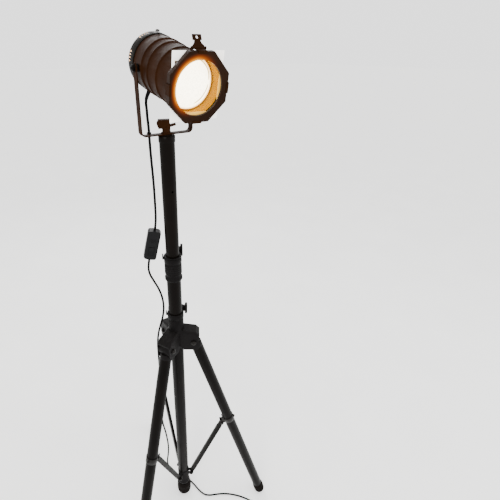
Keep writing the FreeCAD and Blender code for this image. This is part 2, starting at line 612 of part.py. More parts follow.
def build_can_shell():
    """Rear cap with its vents, barrel with its beads and flange, and the screws that join them."""
    outer, seat = "cap_dia / 2", "cap_dia / 2 - cap_wall - 0.1"
    cap = turned([
        ("0", "-cap_back"), (outer, "-cap_back"), (outer, "-cap_front"), (f"{outer} - cap_wall", "-cap_front"),
        (f"{outer} - cap_wall", "-cap_back + cap_wall"), ("0", "-cap_back + cap_wall"),
    ])
    round_edges(cap, "12", ring_at(-dim("cap_back"), dim("cap_dia") / 2))
    inner_rear = dim("cap_wall") - dim("cap_back")
    round_edges(cap, "10.5", ring_at(inner_rear, dim("cap_dia") / 2 - dim("cap_wall")))
    screw_place = "-cap_front - 5"
    cut_outs = [cross_rod("2", "y", "-cap_dia", "cap_dia", z=screw_place)]
    for group in range(VENT_GROUPS):
        for slot in range(VENT_SLOTS):
            middle = 90 + 360 / VENT_GROUPS * (group + 0.5)
            slit = block(("44", f"{outer} + 2"), ("-1.1", "1.1"), ("-cap_back + 6", "-cap_back + 18"))
            cut_outs.append(moved(slit, angle=middle + (slot - (VENT_SLOTS - 1) / 2) * VENT_PITCH))
    node("rear_cap", can_frame(cut(cap, cut_outs)))

    bore, skin = "barrel_bore / 2", "barrel_dia / 2"
    profile = [(bore, "-cap_front - 10"), (seat, "-cap_front - 10"), (seat, "-cap_front + 1")]
    profile += [(f"{skin} + barrel_step", "-cap_front + 2")]
    step = "barrel_step"
    for start, rise, after in BEADS:
        profile += [(f"{skin} + {step}", start), (f"{skin} + {rise}", start + 1), (f"{skin} + {rise}", start + 4)]
        profile += [(f"{skin} + {after}", start + 5)]
        step = after
    profile += [
        (skin, "flange_front - 2"), ("flange_dia / 2", "flange_front - 2"), ("flange_dia / 2", "flange_front"),
        (bore, "flange_front"),
    ]
    holes = [
        cross_rod("2", "y", "-cap_dia", "cap_dia", z=screw_place),
        cross_rod("4", "x", "-cap_dia", "cap_dia"),
        moved(cross_rod("3.1", "y", "30", "cap_dia / 2", z=GLAND_AHEAD), angle=GLAND_TURN),
    ]
    node("barrel", can_frame(cut(turned(profile), holes)))

    screws = []
    for sign in (1, -1):
        screw = fuse([
            cross_rod("2", "y", "cap_dia / 2 - 5.5", "cap_dia / 2 + 2", z=screw_place),
            cross_rod("3.4", "y", "cap_dia / 2 + 0.2", "cap_dia / 2 + 6", z=screw_place),
        ])
        screws.append(moved(screw, angle=90 - 90 * sign))
    node("cap_screws", can_frame(group_of(screws)))


def build_tilt_bolts():
    """The two shouldered bolts that hang the can in the yoke, each with a nut inside the barrel."""
    start, arm = "barrel_bore / 2", "yoke_half + yoke_thick / 2 + 1.2"
    bolts = []
    for turn in (0, 180):
        bolt = fuse([
            cross_rod("4", "x", f"{start} - 6", f"{arm} + 1"),
            cross_rod("7", "x", f"{start} - 5", f"{start} - 1"),
            cross_rod("7.6", "x", "barrel_dia / 2 + barrel_step + 0.1", "yoke_half - yoke_thick / 2 - 0.3"),
            cross_rod("6.2", "x", f"{arm} + 0.2", f"{arm} + 4.2"),
        ])
        bolts.append(moved(bolt, angle=turn))
    node("tilt_bolts", can_frame(group_of(bolts)))


def build_lamp():
    """The reflector lamp with its screw base, the socket that holds it and the socket's bracket."""
    lens, front = "lens_dia / 2", "lens_front"
    body = turned([
        (f"{lens} - 2", f"{front} - 4"), (lens, f"{front} - 4"), (lens, f"{front} - 12"),
        (f"{lens} - 5", f"{front} - 28"), (f"{lens} - 16", f"{front} - 52"), ("20", f"{front} - 72"),
        ("16.5", f"{front} - 82"), ("16.5", f"{front} - 92"), ("13.2", f"{front} - 92"), ("13.2", f"{front} - 112"),
        ("8", f"{front} - 118"), ("5", f"{front} - 120"), ("0", f"{front} - 120"), ("0", f"{front} - 90"),
        ("14.5", f"{front} - 84"), ("18", f"{front} - 72"), (f"{lens} - 18", f"{front} - 52"),
        (f"{lens} - 7", f"{front} - 28"), (f"{lens} - 2", f"{front} - 12"),
    ])
    node("lamp_body", can_frame(body))
    face = turned([("0", f"{front} - 4"), (lens, f"{front} - 4"), (lens, f"{front} - 2"), ("0", front)])
    node("lamp_lens", can_frame(face))
    socket = turned([
        ("0", f"{front} - 142"), ("14", f"{front} - 142"), ("20", f"{front} - 136"), ("20", f"{front} - 96"),
        ("13.3", f"{front} - 96"), ("13.3", f"{front} - 121"), ("0", f"{front} - 121"),
    ])
    node("lamp_socket", can_frame(socket))
    reach, back = "barrel_bore / 2", f"{front} - 142"
    strap = [
        block((f"-({reach}) + 1.4", f"{reach} - 1.4"), ("-9", "9"), (f"{back} - 2", back)),
        block((f"{reach} - 2.4", f"{reach} - 0.9"), ("-9", "9"), (f"{back} - 9", back)),
        block((f"-({reach}) + 0.9", f"-({reach}) + 2.4"), ("-9", "9"), (f"{back} - 9", back)),
    ]
    node("socket_bracket", can_frame(fuse(strap)))


def build_holder():
    """Clips on the flange, the gel card with its film, the octagonal frame and the latch above."""
    half, front = "frame_half", "frame_front"
    wall, lip = f"{half} + 0.5", f"{front} + 1.2"
    channel = fuse([
        block(("-9", "9"), (f"-({wall}) - 1", "-50"), ("flange_front", "flange_front + 1")),
        block(("-9", "9"), (f"-({wall}) - 1", f"-({wall})"), ("flange_front", lip)),
        block(("-9", "9"), (f"-({wall}) - 1", "-frame_half + 3"), (f"{lip} - 1", lip)),
    ])
    ears = []
    for near, far in (("12.5", "13.9"), ("-13.9", "-12.5")):
        ears.append(block((near, far), ("50", LATCH_UP), ("flange_front - 5", "flange_front - 2")))
        ears.append(cross_rod("2.4", "x", near, far, y=LATCH_UP, z=LATCH_AHEAD))
        ears.append(block((near, far), (LATCH_UP - 3.9, LATCH_UP), (LATCH_AHEAD - 2.4, LATCH_AHEAD + 0.5)))
    ears.append(cross_rod("1.1", "x", "-14.5", "14.5", y=LATCH_UP, z=LATCH_AHEAD))
    channels = [channel] + [moved(channel, angle=turn) for turn in (90, -90)]
    node("gel_clips", can_frame(group_of(channels + [fuse(ears)])))

    card_back = "(flange_front + 1.2)"
    window = block(("-44", "44"), ("-42", "42"), (card_back, f"{card_back} + 0.8"))
    leaf = block(("-card_half", "card_half"), ("-card_tall", "card_tall"), (card_back, f"{card_back} + 0.8"))
    node("gel_card", can_frame(cut(leaf, [window])))
    film = block(("-44", "44"), ("-42", "42"), (f"{card_back} + 0.2", f"{card_back} + 0.6"))
    node("gel_film", can_frame(film))

    rim = padded(octagon(half), "XY_Plane", f"{front} - {card_back} - 0.9")
    middle = f"({front} + {card_back} + 0.9) / 2"
    inner = padded(octagon(f"{half} - 1.4"), "XY_Plane", f"{front} - {card_back}")
    hollow = moved(inner, z=f"{middle} - 1.5")
    hole = "frame_hole / 2"
    tray = cut(moved(rim, z=middle), [hollow, rod(hole, card_back, f"{front} + 2")])
    rolled = tube(f"{hole} + 1.2", hole, f"{front} - 5.5", f"{front} - 0.5")
    node("gel_frame", can_frame(fuse([tray, rolled])))

    shelf, nose = LATCH_UP - 1.9, f"{front} + 0.5"
    tab = padded([
        ("-12", "1"), ("12", "1"), ("11.5", "3"), ("7", "7.5"), ("5.5", "11.5"), ("8.5", "12"), ("8.5", "20.5"),
        ("-8.5", "20.5"), ("-8.5", "12"), ("-5.5", "11.5"), ("-7", "7.5"), ("-11.5", "3"),
    ], "XZ_Plane", "1.2")
    tab = cut(tab, [cross_rod("2.3", "y", "-2", "2", z="16")])
    plates = [
        cross_rod("1.9", "x", "-12", "12", y=LATCH_UP, z=LATCH_AHEAD),
        block(("-8", "8"), (shelf, shelf + 1.2), (LATCH_AHEAD, nose)),
        block(("-8", "8"), (f"{half} - 3", shelf + 1.2), (nose, f"{nose} + 1.2")),
        moved(tab, y=LATCH_UP, z=LATCH_AHEAD, axis=(1, 0, 0), angle=-90 - LATCH_LEAN),
    ]
    latch = cut(fuse(plates), [cross_rod("1.2", "x", "-13", "13", y=LATCH_UP, z=LATCH_AHEAD)])
    node("gel_latch", can_frame(latch))


def octagon(half):
    """The corners of a regular octagon, half across its flats given."""
    short = f"({half}) * {math.tan(math.pi / 8)}"
    signs = ((1, -1, 0), (1, 1, 0), (1, 1, 1), (-1, 1, 1), (-1, 1, 0), (-1, -1, 0), (-1, -1, 1), (1, -1, 1))
    corners = []
    for side_x, side_y, flat in signs:
        across, along = (short, half) if flat else (half, short)
        corners.append((f"{side_x} * ({across})", f"{side_y} * ({along})"))
    return corners


# ------------------------------------------------------------------ lead, switch and plug

def runs_and_arcs(points):
    """A wire of straight runs joined by tangent arcs, and its smallest radius."""
    spots = [V(*point) for point in points]
    edges, start, smallest = [], spots[0], math.inf
    for before, corner, after in zip(spots, spots[1:], spots[2:]):
        back, ahead = before - corner, after - corner
        turn = math.pi - back.getAngle(ahead)
        reach = 0.45 * min(back.Length, ahead.Length)
        smallest = min(smallest, reach / math.tan(turn / 2))
        enter = corner + back.normalize() * reach
        leave = corner + ahead.normalize() * reach
        middle = arc_middle(enter, corner, leave, turn)
        edges.append(Part.LineSegment(start, enter).toShape())
        edges.append(Part.Arc(enter, middle, leave).toShape())
        start = leave
    edges.append(Part.LineSegment(start, spots[-1]).toShape())
    return Part.Wire(edges), smallest


def arc_middle(enter, corner, leave, turn):
    """The middle of the arc that leaves one run and meets the next."""
    half_way = (enter + leave) * 0.5
    reach = (enter - corner).Length
    rise = reach * math.tan(turn / 2) ** -1 * (1 - math.cos(turn / 2))
    return half_way + (corner - half_way).normalize() * rise


def build_lead(name, points):
    """One stretch of the lead as a round tube along its route."""
    wire, smallest = runs_and_arcs(points)
    radius = dim("cord_dia") / 2
    first = wire.Edges[0]
    ring = Part.Circle(first.valueAt(first.FirstParameter), first.tangentAt(first.FirstParameter), radius)
    shape = wire.makePipeShell([Part.Wire([ring.toShape()])], True, False)
    expected = math.pi * radius ** 2 * wire.Length
    print(f"{name}: {wire.Length:.0f} mm, smallest radius {smallest:.0f} mm, volume {shape.Volume / expected:.4f}")
    lead = doc.addObject("Part::Feature", "lead")
    lead.Shape = shape
    return node(name, lead)


def aimed(thing, middle, along, face):
    """Puts a thing made along +Z with its face towards -Y at a point, aimed along a direction."""
    along = V(*along).normalize()
    across = along.cross(V(*face)).normalize()
    holder = doc.addObject("Part::Compound", "aimed")
    holder.Links = [thing]
    holder.Placement = FreeCAD.Placement(V(*middle), FreeCAD.Rotation(across, V(0, 0, 0), along, "ZXY"))
    return holder


def switch_frame(thing):
    """Puts a thing made about the switch's middle between the two ends of the lead there."""
    top, bottom = V(*LEAD_MAST[-1]), V(*LEAD_FLOOR[0])
    return aimed(thing, (top + bottom) * 0.5, top - bottom, SWITCH_FACES)


def build_switch():
    """The inline switch's housing and its rocker."""
    gap = 0.1
    long_half = (V(*LEAD_MAST[-1]) - V(*LEAD_FLOOR[0])).Length / 2 - gap
    body = padded([
        ("-16.5", -long_half + 5), ("-12.5", -long_half + 1), ("-5", -long_half), ("5", -long_half),
        ("12.5", -long_half + 1), ("16.5", -long_half + 5), ("16.5", long_half - 5), ("12.5", long_half - 1),
        ("5", long_half), ("-5", long_half), ("-12.5", long_half - 1), ("-16.5", long_half - 5),
    ], "XZ_Plane", "20")
    round_edges(body, "3", long_side_edges)
    well = block(("-7.5", "7.5"), ("-12", "-3"), ("-28", "-4"))
    pin_holes = cross_rod("1.5", "x", "-8.6", "8.6", y=-7, z=-16)
    node("switch_body", switch_frame(cut(body, [well, pin_holes])))
    wedge = padded([("1.8", "-9"), ("-4.6", "-10.6"), ("-3.2", "0"), ("-4.6", "10.6"), ("1.8", "9")], "YZ_Plane", "14")
    rocker = fuse([wedge, cross_rod("1.4", "x", "-8.4", "8.4")])
    node("switch_rocker", switch_frame(moved(rocker, y=-7, z=-16, axis=(1, 0, 0), angle=-6)))


def long_side_edges(edge):
    """Tells the switch housing's four long edges."""
    ends = [vertex.Point for vertex in edge.Vertexes]
    return len(ends) == 2 and abs(ends[0].z - ends[1].z) > 40


def build_plug_and_coil():
    """The put-away lead as one ring of turns, and the two-pin plug beside it."""
    middle, half = COIL_RADIUS, "cord_dia"
    ring = turned([
        (f"{middle} - {half}", "0.1"), (f"{middle} + {half}", "0.1"),
        (f"{middle} + {half}", "2 * cord_dia"), (f"{middle} - {half}", "2 * cord_dia"),
    ])
    round_edges(ring, "cord_dia / 2 - 0.2", lambda edge: isinstance(edge.Curve, Part.Circle))
    node("lead_coil", moved(ring, x=COIL_AT[0], y=COIL_AT[1]))
    grip = padded([
        ("-12.5", "0"), ("12.5", "0"), ("14", "8"), ("14", "22"), ("7", "33"), ("4.2", "45"), ("-4.2", "45"),
        ("-7", "33"), ("-14", "22"), ("-14", "8"),
    ], "XZ_Plane", "15")
    round_edges(grip, "3", plug_edges)
    pins = [rod("2.3", "-19", "6", x=x) for x in ("-9.5", "9.5")]
    sockets = [rod("2.3", "-1", "6", x=x) for x in ("-9.5", "9.5")]
    node("plug", plug_frame(group_of([cut(grip, sockets)] + pins)))


def plug_edges(edge):
    """Tells the edges along the plug's sides, front and back."""
    ends = [vertex.Point for vertex in edge.Vertexes]
    return len(ends) == 2 and abs(ends[0].y - ends[1].y) < 0.01 and 1 < max(ends[0].z, ends[1].z) < 34


def plug_frame(thing):
    """Lays a thing made from the plug's face to its tail along +Z where the lead ends."""
    gap, length = 0.1, 45
    last, before = V(*LEAD_TAIL[-1]), V(*LEAD_TAIL[-2])
    ahead = (last - before).normalize()
    return aimed(thing, last + ahead * (length + gap), before - last, (0, 0, 1))


def build_gland():
    """The tapered gland that the lead leaves the barrel through, and the tie on the yoke."""
    start = "barrel_dia / 2 + barrel_step + 0.05"
    gland = turned([
        ("0", "barrel_bore / 2 - 1"), ("3", "barrel_bore / 2 - 1"), ("3", start), ("5.6", start),
        ("5.6", f"{start} + 1.6"), ("4.6", f"{start} + 2.1"), ("3.8", f"{start} + 5.7"), ("0", f"{start} + 5.7"),
    ])
    laid = moved(gland, axis=(1, 0, 0), angle=-90)
    node("lead_gland", can_frame(moved(moved(laid, z=GLAND_AHEAD), angle=GLAND_TURN)))
    x, y = LEAD_MAST[0][0], LEAD_MAST[0][1]
    loop = fuse([
        place(primitive("Part::Cylinder", {"Radius": "4.9", "Height": "7"}), x, y, "yoke_base - 2.2"),
        block((x - 2.2, x + 2.2), ("yoke_width / 2", y), ("yoke_base", "yoke_base + yoke_thick")),
    ])
    node("lead_tie", cut(loop, [rod("cord_dia / 2 + 0.1", "yoke_base - 5", "yoke_base + 8", x=x, y=y)]))


# ------------------------------------------------------------------ making, checking and writing

build_column()
build_mast_collar()
build_clamp("mast", "1137", "1152", "mast_clamp_height", "14", 63)
build_hub()
build_clamp("hub", "949.5", "964.5", "hub_clamp_height", "20", 60)
for leg, turn in LEGS.items():
    build_leg(leg, turn)
    build_brace(leg, turn)
build_mast()
build_yoke()
build_can_shell()
build_tilt_bolts()
build_lamp()
build_holder()
build_gland()
build_switch()
build_lead("lead_can", LEAD_CAN)
build_lead("lead_mast", LEAD_MAST)
build_lead("lead_floor", LEAD_FLOOR)
build_lead("lead_tail", LEAD_TAIL)
build_plug_and_coil()
doc.recompute()

for thing in doc.Objects:
    if {"Invalid", "Error"} & set(thing.State):
        raise RuntimeError(f"{thing.Name} ({thing.Label}) failed: {thing.State}")
for thing in NODES:
    if thing.Shape.isNull() or not thing.Shape.isValid() or not thing.Shape.Solids:
        raise RuntimeError(f"{thing.Label} has no valid solid")

os.makedirs("parts", exist_ok=True)
for thing in NODES:
    thing.Shape.exportStep(f"parts/{thing.Label}.step")
print(f"{len(NODES)} sub-parts written")
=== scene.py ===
import bmesh
import bpy
import json
import math
from mathutils import Matrix, Vector


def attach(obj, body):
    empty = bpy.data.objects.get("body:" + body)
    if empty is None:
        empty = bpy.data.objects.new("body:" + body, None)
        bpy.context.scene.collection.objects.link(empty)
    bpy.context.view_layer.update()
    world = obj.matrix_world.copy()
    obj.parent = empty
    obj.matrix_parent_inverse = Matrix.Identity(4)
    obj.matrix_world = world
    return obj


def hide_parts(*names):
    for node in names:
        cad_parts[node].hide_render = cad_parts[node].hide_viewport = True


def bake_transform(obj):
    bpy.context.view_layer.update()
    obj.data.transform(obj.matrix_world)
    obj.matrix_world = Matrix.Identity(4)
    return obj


# A small par can light on a telescoping tripod stand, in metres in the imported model's own frame.
# Outlines, profiles and routes, and the sizes given to mm(), are in millimetres.

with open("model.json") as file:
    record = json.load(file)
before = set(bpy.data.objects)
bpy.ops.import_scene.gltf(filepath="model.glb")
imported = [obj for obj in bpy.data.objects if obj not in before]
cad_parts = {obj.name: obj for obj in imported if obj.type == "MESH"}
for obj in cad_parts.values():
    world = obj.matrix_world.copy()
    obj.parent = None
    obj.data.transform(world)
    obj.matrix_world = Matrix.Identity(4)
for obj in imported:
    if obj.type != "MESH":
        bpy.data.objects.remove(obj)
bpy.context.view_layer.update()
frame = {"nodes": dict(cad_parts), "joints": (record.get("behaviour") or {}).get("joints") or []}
JOINTS = {joint["name"]: joint for joint in frame["joints"]}
LEGS = {"right": -30, "left": -150, "rear": 90}   # azimuth of each leg, degrees
LEG_SPREAD = 17.3                                 # a leg's angle to the column, degrees
LEG_PIVOT = (51.5, 0, 866)                        # a leg's pivot in its own plane
CAN_TILT = 11                                     # the can's axis below level, degrees
GLAND_TURN, GLAND_AHEAD = 154, -16                # where the lead leaves the barrel
SWITCH_FACES = (-0.354, -0.935, 0)                # which way the switch's rocker looks


def mm(*numbers):
    """Millimetres as metres: one number, or a vector of three."""
    return numbers[0] / 1000 if len(numbers) == 1 else Vector(numbers) / 1000


def about(axis, angle, point=(0, 0, 0)):
    """A frame at a point, turned about an axis by an angle in degrees."""
    return Matrix.Translation(Vector(point)) @ Matrix.Rotation(math.radians(angle), 4, axis)


def looking(origin, along, side=(0, 0, 1)):
    """A frame at a point whose +Z runs along a direction and whose +X leans towards side."""
    z = Vector(along).normalized()
    x = Vector(side) - z * z.dot(Vector(side))
    x.normalize()
    turn = Matrix((x, z.cross(x), z)).transposed().to_4x4()
    return Matrix.Translation(Vector(origin)) @ turn


TILT_AXIS = JOINTS["can_tilt"]["pos_m"]
CAN = about("X", 90 + CAN_TILT, TILT_AXIS)    # +Z ahead along the can, +Y up


# ------------------------------------------------------------------ camera

def make_camera():
    """The camera stands a little above the lamp and looks down along the stand."""
    data = bpy.data.cameras.new("camera")
    data.lens = 25.2
    data.sensor_width = 36
    data.shift_x = 0.0928
    data.shift_y = 0.0057
    camera = bpy.data.objects.new("camera", data)
    right = Vector((0.86447, -0.50268, 0.00088))
    back = -Vector((0.43516, 0.74747, -0.50192))
    stands_at = (-0.3254, -0.7192, 1.6180)
    turn = Matrix((right, back.cross(right), back)).transposed().to_4x4()
    camera.matrix_world = Matrix.Translation(stands_at) @ turn
    bpy.context.scene.collection.objects.link(camera)
    bpy.context.scene.camera = camera


# ------------------------------------------------------------------ materials

def add(tree, kind, inputs=None, **settings):
    """A shader node with its settings, and its inputs set to values or linked to sockets."""
    made = tree.nodes.new(kind)
    for name, value in settings.items():
        setattr(made, name, value)
    for name, value in (inputs or {}).items():
        if isinstance(value, bpy.types.NodeSocket):
            tree.links.new(value, made.inputs[name])
        else:
            made.inputs[name].default_value = value
    return made


def rgba(colour):
    """A colour with full alpha."""
    return (*colour, 1.0)


def noise(tree, at, scale, detail=3, rough=0.55):
    """Noise between 0 and 1."""
    inputs = {"Vector": at, "Scale": scale, "Detail": detail, "Roughness": rough}
    return add(tree, "ShaderNodeTexNoise", inputs).outputs["Fac"]


def ramp(tree, value, low, high, start=0.0, end=1.0):
    """A value carried from one range to another, and held at its ends."""
    inputs = {"Value": value, "From Min": low, "From Max": high, "To Min": start, "To Max": end}
    return add(tree, "ShaderNodeMapRange", inputs).outputs["Result"]


def mix(tree, share, one, other):
    """A colour between two, by a share."""
    made = add(tree, "ShaderNodeMix", data_type="RGBA")
    for socket, value in ((made.inputs[0], share), (made.inputs[6], one), (made.inputs[7], other)):
        if isinstance(value, bpy.types.NodeSocket):
            tree.links.new(value, socket)
        else:
            socket.default_value = value
    return made.outputs[2]


def calc(tree, operation, *values):
    """One sum on numbers or sockets, such as ADD or POWER."""
    return add(tree, "ShaderNodeMath", dict(enumerate(values)), operation=operation).outputs[0]


def times(tree, one, other):
    return calc(tree, "MULTIPLY", one, other)


def split(tree, vector):
    """The X, Y and Z of a vector."""
    return add(tree, "ShaderNodeSeparateXYZ", {"Vector": vector}).outputs


def length(tree, vector):
    return add(tree, "ShaderNodeVectorMath", {0: vector}, operation="LENGTH").outputs["Value"]


def bump(tree, height, depth):
    """A normal for relief of a depth in metres."""
    inputs = {"Height": height, "Distance": depth, "Strength": 1.0}
    return add(tree, "ShaderNodeBump", inputs).outputs["Normal"]


def start(name):
    """An empty material's tree, its Principled shader and the object's own coordinates."""
    made = bpy.data.materials.new(name)
    made.use_nodes = True
    tree = made.node_tree
    shader = tree.nodes["Principled BSDF"]
    at = add(tree, "ShaderNodeTexCoord").outputs["Object"]
    return made, tree, shader, at


def stretched(tree, at, scale):
    """Coordinates scaled by a number for each axis."""
    return add(tree, "ShaderNodeMapping", {"Vector": at, "Scale": scale}).outputs["Vector"]


DUST = (0.030, 0.027, 0.024, 1.0)


def surface(name, colour, rough, metal=0.0, grain=900, depth=0.00004, worn=None, dust=0.0, shine=0.5,
            scratch=None, mottle=0.3):
    """A paint, plastic, rubber or metal: mottled colour, uneven gloss, fine grain, scratches and dust."""
    made, tree, shader, at = start(name)
    broad = noise(tree, at, 18, 5)
    fine = noise(tree, at, grain, 2)
    dark, light = (tuple(c * k for c in colour) for k in (1 - mottle, 1 + mottle))
    tint = mix(tree, ramp(tree, broad, 0.3, 0.7), rgba(dark), rgba(light))
    gloss = ramp(tree, noise(tree, at, 45, 4), 0.3, 0.7, rough - 0.07, rough + 0.07)
    if scratch:
        lines = noise(tree, stretched(tree, at, scratch), 1.0, 4, 0.7)
        marks = ramp(tree, lines, 0.62, 0.72)
        bared = rgba(worn or tuple(min(1, c * 4) for c in colour))
        tint = mix(tree, times(tree, marks, 0.5), tint, bared)
        gloss = calc(tree, "SUBTRACT", gloss, times(tree, marks, 0.12))
    if dust:
        up = split(tree, add(tree, "ShaderNodeNewGeometry").outputs["Normal"])["Z"]
        lying = ramp(tree, up, 0.2, 1.0)
        patch = ramp(tree, noise(tree, at, 130, 6, 0.7), 0.4, 0.75)
        share = times(tree, times(tree, lying, patch), dust)
        tint = mix(tree, share, tint, DUST)
        gloss = calc(tree, "ADD", gloss, times(tree, share, 0.5))
    tree.links.new(tint, shader.inputs["Base Color"])
    tree.links.new(gloss, shader.inputs["Roughness"])
    shader.inputs["Metallic"].default_value = metal
    shader.inputs["Specular IOR Level"].default_value = shine
    tree.links.new(bump(tree, fine, depth), shader.inputs["Normal"])
    return made


def from_can_axis(tree, at):
    """A point's place in the can's own frame, and how far it stands from the can's axis."""
    turn = {"Vector": at, "Location": TILT_AXIS, "Rotation": CAN.to_euler()}
    inside = add(tree, "ShaderNodeMapping", turn, vector_type="TEXTURE").outputs["Vector"]
    across = {0: inside, 1: (1, 1, 0)}
    flat = add(tree, "ShaderNodeVectorMath", across, operation="MULTIPLY").outputs["Vector"]
    return inside, length(tree, flat)


def frame_material():
    """The head's paint on the gel frame, with a painted glow of the lamp's light round the hole's left and
    upper edge.
    """
    made = surface("frame_paint", (0.0120, 0.0046, 0.0018), 0.42, grain=1500, depth=0.00005, dust=0.1,
                   mottle=0.25, scratch=(200, 200, 300), worn=(0.020, 0.009, 0.004), shine=0.03)
    tree = made.node_tree
    shader = tree.nodes["Principled BSDF"]
    at = add(tree, "ShaderNodeTexCoord").outputs["Object"]
    inside, radius = from_can_axis(tree, at)
    sides = split(tree, inside)
    # Painted light: the frame glows near the hole, strongest at its left and upper edge, as if lit by the
    # lamp; the frame is no lamp.
    leaning = calc(tree, "SUBTRACT", times(tree, sides["Y"], 0.55), sides["X"])
    near_hole = ramp(tree, radius, 0.0440, 0.0590, 1.0, 0.0)
    share = calc(tree, "POWER", times(tree, ramp(tree, leaning, -0.03, 0.035), near_hole), 3.6)
    painted_glow_red, gold = (1.0, 0.12, 0.0, 1), (1.0, 0.62, 0.0, 1)
    tree.links.new(mix(tree, share, painted_glow_red, gold), shader.inputs["Emission Color"])
    tree.links.new(times(tree, share, 3.0), shader.inputs["Emission Strength"])
    return made


# The cap's wall lies between 10.5 and 12 mm from a core, whose edge this radius and this place give.
CAP_CORE_RADIUS, CAP_CORE_AHEAD = 0.042, -0.046


def cap_material():
    """Blacker paint on the rear cap, and the lamp's light on its inner face behind the vents."""
    made = surface("cap_paint", (0.0034, 0.0026, 0.0018), 0.45, grain=1500, depth=0.00005, dust=0.1,
                   mottle=0.25, scratch=(300, 90, 300), worn=(0.012, 0.009, 0.006), shine=0.035)
    tree = made.node_tree
    at = add(tree, "ShaderNodeTexCoord").outputs["Object"]
    inside, radius = from_can_axis(tree, at)
    ahead = split(tree, inside)["Z"]
    out = calc(tree, "MAXIMUM", calc(tree, "SUBTRACT", radius, CAP_CORE_RADIUS), 0.0)
    back = calc(tree, "MAXIMUM", calc(tree, "SUBTRACT", CAP_CORE_AHEAD, ahead), 0.0)
    from_core = add(tree, "ShaderNodeCombineXYZ", {"X": out, "Y": back}).outputs["Vector"]
    on_inner_face = ramp(tree, length(tree, from_core), 0.0108, 0.0112, 1.0, 0.0)
    inner = times(tree, on_inner_face, ramp(tree, ahead, -0.036, -0.035, 1.0, 0.0))
    shader = tree.nodes["Principled BSDF"]
    shader.inputs["Emission Color"].default_value = (1.0, 0.60, 0.32, 1)
    tree.links.new(times(tree, inner, 4.0), shader.inputs["Emission Strength"])
    return made


def card_material():
    """Uncoated white card: fibres and a few specks. Its orange round the window and its faint glow all over
    are painted lamp light.
    """
    made, tree, shader, at = start("white_card")
    fibre = noise(tree, stretched(tree, at, (900, 900, 2400)), 1.0, 5, 0.7)
    broad = ramp(tree, noise(tree, at, 30, 4), 0.35, 0.7)
    tint = mix(tree, broad, (0.88, 0.87, 0.84, 1), (0.92, 0.91, 0.88, 1))
    specks = ramp(tree, noise(tree, at, 1400, 1), 0.70, 0.76)
    tint = mix(tree, times(tree, specks, 0.12), tint, (0.55, 0.50, 0.42, 1))
    # Painted light: orange in the card's colour round its window, standing in for the lamp's light.
    outer = ramp(tree, from_can_axis(tree, at)[1], 0.0490, 0.0515)
    tint = mix(tree, outer, (0.80, 0.46, 0.09, 1), tint)
    tree.links.new(tint, shader.inputs["Base Color"])
    tree.links.new(ramp(tree, fibre, 0.3, 0.7, 0.75, 0.9), shader.inputs["Roughness"])
    tree.links.new(bump(tree, fibre, mm(0.05)), shader.inputs["Normal"])
    # Painted light: the card glows a little all over, and orange round its window; it is no lamp.
    lit = mix(tree, outer, (1.0, 0.50, 0.02, 1), (1.0, 0.93, 0.82, 1))
    tree.links.new(lit, shader.inputs["Emission Color"])
    tree.links.new(ramp(tree, outer, 0.0, 1.0, 0.7, 0.9), shader.inputs["Emission Strength"])
    return made


def film_material():
    """A light amber filter film: clear, a little glossy, faintly rippled."""
    made, tree, shader, at = start("filter_film")
    broad = ramp(tree, noise(tree, at, 22, 2), 0.3, 0.7)
    tint = mix(tree, broad, (1.0, 0.62, 0.06, 1), (1.0, 0.68, 0.10, 1))
    rough = ramp(tree, noise(tree, at, 60, 3), 0.3, 0.7, 0.06, 0.16)
    tree.links.new(tint, shader.inputs["Base Color"])
    tree.links.new(rough, shader.inputs["Roughness"])
    tree.links.new(bump(tree, noise(tree, at, 25, 2), mm(0.3)), shader.inputs["Normal"])
    shader.inputs["Alpha"].default_value = 0.03
    return made


def lens_material():
    """The lit lens: white in the middle, warm gold at its rim, with pressed stipple and two faint arcs."""
    made, tree, shader, at = start("lit_lens")
    inside, radius = from_can_axis(tree, at)
    dots = add(tree, "ShaderNodeTexVoronoi", {"Vector": inside, "Scale": 300.0}).outputs["Distance"]
    rim = ramp(tree, radius, 0.042, 0.046)
    glow = mix(tree, rim, (1.0, 0.93, 0.72, 1), (1.0, 0.42, 0.04, 1))
    sides = split(tree, inside)
    reach = ramp(tree, sides["Y"], -0.02, 0.02, 0.0375, 0.0415)
    arc_width = 0.0012
    on_ring = calc(tree, "COMPARE", radius, reach, arc_width)
    off_middle = ramp(tree, calc(tree, "ABSOLUTE", sides["Y"]), 0.003, 0.006)
    arcs = times(tree, on_ring, times(tree, ramp(tree, sides["X"], 0.010, 0.018), off_middle))
    glow = mix(tree, times(tree, arcs, 0.9), glow, (0.90, 0.70, 0.02, 1))
    power = times(tree, ramp(tree, radius, 0.041, 0.0458, 7.0, 1.6), ramp(tree, dots, 0.1, 0.6, 0.85, 1.1))
    power = times(tree, power, ramp(tree, arcs, 0.0, 1.0, 1.0, 0.16))
    tint = mix(tree, rim, (0.9, 0.86, 0.7, 1), (0.75, 0.56, 0.25, 1))
    tree.links.new(glow, shader.inputs["Emission Color"])
    tree.links.new(power, shader.inputs["Emission Strength"])
    tree.links.new(tint, shader.inputs["Base Color"])
    tree.links.new(ramp(tree, dots, 0.1, 0.6, 0.12, 0.3), shader.inputs["Roughness"])
    tree.links.new(bump(tree, dots, mm(0.6)), shader.inputs["Normal"])
    return made


def floor_material():
    """A pale studio floor, lit from all round."""
    made, tree, shader, at = start("pale_floor")
    broad = ramp(tree, noise(tree, at, 3, 6), 0.3, 0.7)
    tint = mix(tree, broad, (0.78, 0.78, 0.77, 1), (0.82, 0.82, 0.81, 1))
    tree.links.new(tint, shader.inputs["Base Color"])
    tree.links.new(ramp(tree, noise(tree, at, 60, 4), 0.3, 0.7, 0.6, 0.75), shader.inputs["Roughness"])
    shader.inputs["Specular IOR Level"].default_value = 0.1
    shader.inputs["Emission Color"].default_value = (1.0, 1.0, 1.0, 1)
    shader.inputs["Emission Strength"].default_value = 0.45
    return made


